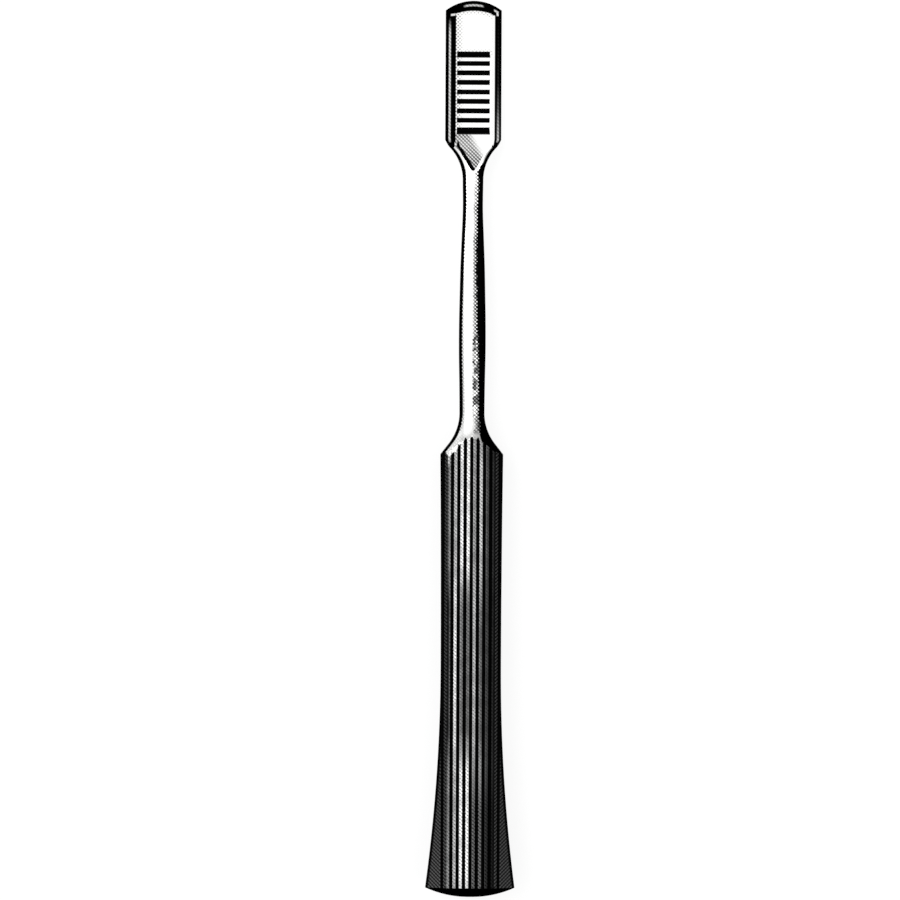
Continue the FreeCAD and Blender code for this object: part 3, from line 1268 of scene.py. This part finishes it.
@dataclass(frozen=True)
class GroundBevel(Steel):
    """Stainless steel ground to an edge, painted black as shade, with a painted highlight along its middle.

    The eye gets one painted highlight line: bright down the left, in the middle of the tip and at its
    right corner, and grey towards the heel at the right, where the top of the bevel is painted bright too.
    """

    # Where the painted highlight lines run, inwards from the back edge.
    line: Window = (0.73, 0.87, 1.17, 1.34)
    tip_line: Window = (0.84, 1.0, 1.36, 1.56)
    right_line: Window = (0.46, 0.66, 0.94, 1.14)
    bead_crossing: float = 0.5
    bead_depth: float = 0.6
    bead_floor: float = 0.55
    left_start: Span = (3.8, 8.4)
    left_level: float = 0.8
    heel: Span = (34.3, 33.7)
    tip: Span = (3.3, 2.9)
    tip_reach: Span = (2.7, 1.7)
    tip_level: float = 0.7
    corner: Span = (3.9, 3.6)
    corner_reach: Span = (4.7, 5.1)
    right_level: Stops = ((3.6, 0.015), (8.0, 0.024), (20.0, 0.04), (26.0, 0.14), (33.0, 0.6))
    top: Window = (3.6, 3.9, 34.6, 35.2)
    top_inwards: Span = (1.56, 1.72)
    spot: Window = (3.25, 3.4, 3.75, 3.9)
    spot_inwards: Span = (1.1, 1.4)
    spot_level: float = 0.8

    def shade(self, place: Place) -> Colour:
        """Painted black shade, then all the painted highlights at once."""
        station, inwards, aside = place.station, place.inwards, place.aside
        left, right = place.left, place.right
        beads = self.painted_hatch(place.across, place.along, self.bead_crossing) * self.bead_depth + self.bead_floor
        line, tip_line, right_line = (
            inwards.profile(tuple(zip(window, RISE_AND_FALL))) * beads
            for window in (self.line, self.tip_line, self.right_line)
        )
        # Painted highlights: down the left, over the tip, at the right corner, grey down the right, on the
        # top at the right and a spot at the left.
        heel = station.eased(self.heel)
        down_left = left * station.eased(self.left_start) * heel * line * self.left_level
        over_tip = station.eased(self.tip) * aside.eased(self.tip_reach) * tip_line * self.tip_level
        corner = right * aside.eased(self.corner_reach) * station.eased(self.corner) * line
        down_right = right * station.profile(self.right_level) * heel * right_line
        top = right * station.inside(self.top) * inwards.eased(self.top_inwards)
        spot = left * station.inside(self.spot) * inwards.eased(self.spot_inwards) * self.spot_level
        return layered(BLACK, (highest(down_left, over_tip, corner, down_right, top, spot), BRIGHT))


@dataclass(frozen=True)
class PaintedBlackShade(Steel):
    """Stainless steel painted black as shade: the grooves' bottoms and the butt.

    The eye gets a dull, even black.
    """

    def shade(self, place: Place) -> Colour:
        """Near black all over, as painted shade."""
        return BLACK


@dataclass(frozen=True)
class PolishedShaft(Steel):
    """Stainless steel, turned and polished bright, with painted black shade on its flanks.

    The eye gets painted shade: a narrow black flank at the left, then bright, then crossed marks and
    black blotches beside a broad black flank at the right, and fainter marks beside the narrow flank
    and on the cone.
    """

    # The dark grey of the painted shade's marks and blotches.
    painted_shading: str = "#0c0c0c"
    crossing: float = 0.85
    body: Window = (39.8, 41.5, 103.0, 105.0)
    least_share: float = 0.001
    near_width: Stops = ((34.0, 0.8), (41.0, 0.9), (48.0, 0.96), (56.0, 0.86), (100.0, 0.86), (105.0, 0.95))
    near_ripple: float = 0.15
    near_edge: Span = (0.06, -0.06)
    near_marks: Span = (0.7, 0.1)
    near_level: float = 0.45
    far_width: Stops = (
        *((34.0, 1.0), (38.0, 0.85), (39.0, 0.8), (39.9, 1.25), (51.0, 1.4), (60.0, 2.0), (76.0, 2.25)),
        *((88.0, 1.7), (97.0, 1.45), (102.0, 1.45), (103.2, 2.0), (106.0, 2.9), (108.8, 3.9)),
    )
    far_offset: float = 0.65
    far_ripple: float = 0.45
    far_edge: Span = (0.08, -0.08)
    far_shrink: Stops = ((40.0, 0.9), (76.0, 0.9), (84.0, 0.5), (104.0, 0.5))
    far_marks: Span = (0.8, 0.15)
    far_level: float = 0.95
    # Painted shade in blotches beside the broad flank.
    blotch_size: float = 2.38
    blotch_detail: float = 2.0
    blotch: Span = (0.48, 0.54)
    blotch_start: Span = (70.0, 80.0)
    blotch_reach: Span = (0.8, 0.6)
    blotch_dots: float = 0.22
    cone: Span = (103.5, 105.5)
    cone_level: float = 0.3

    def shade(self, place: Place) -> Colour:
        """White, then the painted shade of the marks and blotches, then the painted black of both flanks.
        A flank is measured inwards from the outline: the distance from the axis over its share of the half
        width, less that distance."""
        station, left, right, aside = place.station, place.left, place.right, place.aside
        inset = aside / place.inwards.joined("MAXIMUM", self.least_share) - aside
        noise = place.clouds(self.blotch_size, self.blotch_detail)
        dots = self.painted_hatch(place.across, place.along, self.crossing)
        body = station.inside(self.body)
        near_off = inset - station.profile(self.near_width) + dots * body * self.near_ripple
        uneven = (noise - self.far_offset + dots * self.far_ripple) * body
        far_off = inset - station.profile(self.far_width) + uneven
        # Painted black shade on both flanks, then painted shade in marks and blotches beside them and on the
        # cone.
        flanks = highest(left * near_off.eased(self.near_edge), right * far_off.eased(self.far_edge))
        reach = far_off * station.profile(self.far_shrink)
        blotches = right * noise.eased(self.blotch) * reach.eased(self.blotch_reach)
        blotches *= station.eased(self.blotch_start) * (1.0 - dots * self.blotch_dots)
        beside_near = left * near_off.eased(self.near_marks) * self.near_level
        beside_far = right * reach.eased(self.far_marks) * self.far_level
        gaps = 1.0 - dots
        marks = highest(highest(beside_far, beside_near) * gaps, blotches) * body
        marks = highest(marks, station.eased(self.cone) * gaps * self.cone_level)
        return layered(BRIGHT, (marks, self.painted_shading), (flanks, BLACK))


@dataclass(frozen=True)
class PaintedLightAndShadeHandle(Steel):
    """Stainless steel painted black as shade, with painted highlights on the crests between the flutes.

    The eye gets black flutes, crests that are each lit and shaded in their own way at both ends and in
    the middle, slopes with painted shade in dim crossed marks and a black border, and a painted highlight
    at the upper left, where the flutes only turn black below a slanted line.

    Attributes:
        ridges: For each crest, its place across, and its painted light and shade at both ends and in
        the middle.
    """

    roughness: float = 0.42
    pitch: float = 1.525
    crest: Span = (0.05, -0.45)
    panel: Span = (5.8, 5.7)
    # Painted light and shade on each crest: lighter towards the upper left, darker to the right.
    ridges: tuple[tuple[float, str, str], ...] = (
        (-6.1, "#505050", "#242424"),
        (-5.3, "#848484", "#282828"),
        (-3.8, "#b4b4b4", "#f0f0f0"),
        (-2.3, "#f6f6f6", "#787878"),
        (-0.7, "#fbfbfa", "#6c6c6c"),
        (0.8, "#909090", "#bcbcbc"),
        (2.3, "#acacac", "#6c6c6c"),
        (3.8, "#484848", "#404040"),
        (5.4, "#2a2a2a", "#202020"),
        (6.1, "#202020", "#202020"),
    )
    middle: Window = (132.0, 146.0, 174.0, 188.0)
    line_corner: float = 1.5
    line_slant: float = 1.26
    line_start: float = 105.1
    line_end: float = 109.2
    line_ripple: float = 0.3
    line_edge: Span = (0.12, -0.12)
    # Where the painted highlight lies at the upper left.
    painted_highlight_right: Span = (0.9, 0.7)
    painted_highlight_left: Span = (-6.2, -5.9)
    painted_highlight_marks: float = 0.45
    # Painted highlight on the crests below the slanted line.
    painted_crest_highlight: Span = (3.4, 1.2)
    painted_crest_highlight_across: Span = (-5.2, -5.5)
    painted_crest_highlight_level: float = 0.8
    sixth: Window = (1.4, 1.7, 2.9, 3.2)
    sixth_level: Stops = ((109.0, 0.0), (113.0, 0.5), (118.0, 0.3), (132.0, 0.3), (150.0, 0.0))
    dull_size: float = 3.125
    dull_detail: float = 3.0
    dull: Span = (0.58, 0.4)
    dull_level: float = 0.4
    crossing: float = 0.6
    bead_level: float = 0.85
    # Painted shade that darkens the crests at the right, lower down.
    low: Span = (172.0, 196.0)
    low_depth: float = 0.4
    low_floor: float = 0.65
    # The grey of the painted shade on the slopes.
    slope_shade: str = "#525252"
    slope_flute: float = 6.73
    slope_land: Span = (0.3, 0.42)
    slope_crossing: float = 0.45
    border: Span = (0.45, 0.8)

    def shade(self, place: Place) -> Colour:
        """Painted black shade, then the slopes' painted shade, the crests' painted light and shade, then the
        painted highlight.
        """
        across, along, station, aside = place.across, place.along, place.station, place.aside
        wave = (across * (2 * math.pi / self.pitch)).joined("COSINE")
        crest = wave.eased(self.crest) * aside.eased(self.panel)
        places, ends, middle = zip(*self.ridges)
        ends, middle = (across.profile(tuple(zip(places, shades))) for shades in (ends, middle))
        out = (across * -1.0 - self.line_corner).joined("MAXIMUM", 0.0)
        start = (out * self.line_slant + self.line_start).joined("MINIMUM", self.line_end)
        below = station + wave * self.line_ripple - start
        # Painted highlights on the crests below the slanted line and on the sixth crest.
        painted_crest_highlight = below.eased(self.painted_crest_highlight) * across.eased(self.painted_crest_highlight_across) * self.painted_crest_highlight_level
        painted_crest_highlight = highest(painted_crest_highlight, station.profile(self.sixth_level) * across.inside(self.sixth))
        noise = place.clouds(self.dull_size, self.dull_detail)
        marks = self.painted_hatch(across, along, self.crossing)
        low = place.right * station.eased(self.low) * (marks * self.low_depth + self.low_floor)
        dulled_and_painted_shade = highest(noise.eased(self.dull) * self.dull_level, low, marks * self.bead_level)
        painted_shading = layered(ends, (station.inside(self.middle), middle), (painted_crest_highlight, BRIGHT), (dulled_and_painted_shade, BLACK))
        slope = (1.0 - aside.eased(self.panel)) * abs(aside - self.slope_flute).eased(self.slope_land)
        slope *= place.inwards.eased(self.border) * self.painted_hatch(aside * -1.0, along, self.slope_crossing)
        # The patch at the upper left is a painted highlight, broken by hatching.
        polished = across.eased(self.painted_highlight_right) * across.eased(self.painted_highlight_left)
        polished *= below.eased(self.line_edge)
        patch_shade = layered(BRIGHT, (marks * self.painted_highlight_marks, BLACK))
        return layered(BLACK, (slope, self.slope_shade), (crest, painted_shading), (polished, patch_shade))


# Every finish but the plain back paints light and shade into its colour.
FINISHES: dict[Finish, Steel] = {
    Finish.POLISHED_FACE: PolishedFace("stainless_steel_polished_face"),
    Finish.GROUND_BEVEL: GroundBevel("stainless_steel_ground_bevel"),
    Finish.BLACKENED_GROOVE: PaintedBlackShade("stainless_steel_painted_shade_groove", roughness=0.5),
    Finish.POLISHED_SHAFT: PolishedShaft("stainless_steel_polished_shaft"),
    Finish.RUBBED_HANDLE: PaintedLightAndShadeHandle("stainless_steel_painted_light_and_shade_handle"),
    Finish.BLACKENED_END: PaintedBlackShade("stainless_steel_painted_shade_end", roughness=0.45),
    Finish.POLISHED_BACK: Steel("stainless_steel_polished_back"),
}


@dataclass(frozen=True)
class Softbox:
    """A square lamp that points at the middle of the bench, in metres and watts."""

    name: str
    place: tuple[float, float, float]
    size: float
    power: float

    def hang(self) -> None:
        """Adds the lamp to the scene."""
        data = bpy.data.lights.new(self.name, "AREA")
        data.size = self.size
        data.energy = self.power
        lamp = bpy.data.objects.new(self.name, data)
        lamp.location = self.place
        lamp.rotation_euler = (-Vector(self.place)).to_track_quat("-Z", "Y").to_euler()
        bpy.context.scene.collection.objects.link(lamp)


@dataclass(frozen=True)
class Studio:
    """A white bench, soft light and a camera that looks straight down. Sizes are in metres.

    Attributes:
        glow: How much of the bench's own white the camera and mirrors see, over what lamps light up.
        dome: The brightness of the dome for each upward part of a ray's direction.
        card: Where the white at the left begins and is full, for each part of a direction to the right.
        card_level: What the white at the left adds.
    """

    floor_size: float = 6.0
    board: str = "#fafafa"
    glow: float = 0.85
    lamps: tuple[Softbox, ...] = (
        Softbox("softbox_left", (-0.7, 0.35, 1.0), 1.0, 9.0),
        Softbox("softbox_right", (0.8, -0.3, 1.1), 1.0, 5.0),
    )
    dome: Stops = ((0.0, 0.35), (0.35, 0.55), (0.7, 0.85), (0.95, 1.0))
    card: Span = (0.1, -0.6)
    card_level: float = 0.4
    lens: float = 250.0
    frame_width: float = 0.2156
    camera_place: tuple[float, float] = (-0.00522, -0.00047)
    lean: float = math.radians(0.27)
    focus_height: float = 0.006

    def floor(self) -> None:
        """Lays the white bench: a plain sheet that keeps the instrument's shadow and shows as white."""
        half = self.floor_size / 2
        corners = [(-half, -half, 0), (half, -half, 0), (half, half, 0), (-half, half, 0)]
        mesh = bpy.data.meshes.new("bench")
        mesh.from_pydata(corners, [], [(0, 1, 2, 3)])
        floor = bpy.data.objects.new("bench", mesh)
        bpy.context.scene.collection.objects.link(floor)
        material = bpy.data.materials.new("white_lacquered_board")
        tree = cleared_tree(material)
        board = add_node(tree, "BsdfDiffuse", {"Color": self.board})
        glow = add_node(tree, "Emission", {"Color": WHITE, "Strength": 1.0})
        rays = add_node(tree, "LightPath", {}).outputs
        seen = highest(Value(rays["Is Camera Ray"]), Value(rays["Is Glossy Ray"]))
        parts = {0: seen * self.glow, 1: Value(board.outputs[0]), 2: Value(glow.outputs[0])}
        both = add_node(tree, "MixShader", parts)
        add_node(tree, "OutputMaterial", {"Surface": Value(both.outputs[0])})
        mesh.materials.append(material)
        floor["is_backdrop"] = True

    def light(self) -> None:
        """Hangs two large soft lamps over the bench, under a dome that is white overhead and at the left
        and greyer towards the bench. The camera sees it white all over."""
        for lamp in self.lamps:
            lamp.hang()
        world = bpy.data.worlds.new("studio")
        tree = cleared_tree(world)
        ray = Value(add_node(tree, "TexCoord", {}).outputs["Generated"])
        right, _, up = (Value(part) for part in add_node(tree, "SeparateXYZ", {0: ray}).outputs)
        seen = Value(add_node(tree, "LightPath", {}).outputs["Is Camera Ray"])
        level = highest(up.profile(self.dome) + right.eased(self.card) * self.card_level, seen)
        strength = level.joined("MINIMUM", 1.0)
        background = add_node(tree, "Background", {"Color": WHITE, "Strength": strength})
        add_node(tree, "OutputWorld", {"Surface": Value(background.outputs[0])})
        bpy.context.scene.world = world

    def camera(self) -> None:
        """Sets the camera over the bench, so far up that the frame spans its width at the instrument."""
        data = bpy.data.cameras.new("camera")
        data.lens = self.lens
        camera = bpy.data.objects.new("camera", data)
        distance = self.frame_width / 2 / (data.sensor_width / 2 / self.lens)
        camera.location = (*self.camera_place, self.focus_height + distance)
        camera.rotation_euler = (0, 0, self.lean)
        bpy.context.scene.collection.objects.link(camera)
        bpy.context.scene.camera = camera

    def build(self) -> None:
        """Makes the bench, the light and the camera."""
        self.floor()
        self.light()
        self.camera()
        bpy.context.scene.view_settings.view_transform = "Standard"


def main() -> None:
    """Builds the instrument's skin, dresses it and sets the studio."""
    logging.basicConfig(level=logging.INFO, format="%(message)s")
    mesh = build_skin()
    for finish in Finish:
        mesh.materials.append(FINISHES[finish].material())
    piece = bpy.data.objects.new(NODE + "_steel", mesh)
    bpy.context.scene.collection.objects.link(piece)
    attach(piece, "root")
    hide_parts(NODE)
    Studio().build()
    low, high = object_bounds()
    for name, corner in (("cad", (cad_low, cad_high)), ("looks", (low, high))):
        millimetres = [[round(value / MILLIMETRE, 3) for value in end] for end in corner]
        log.info("%s box, mm: %s", name, millimetres)


if __name__ == "__main__":
    main()
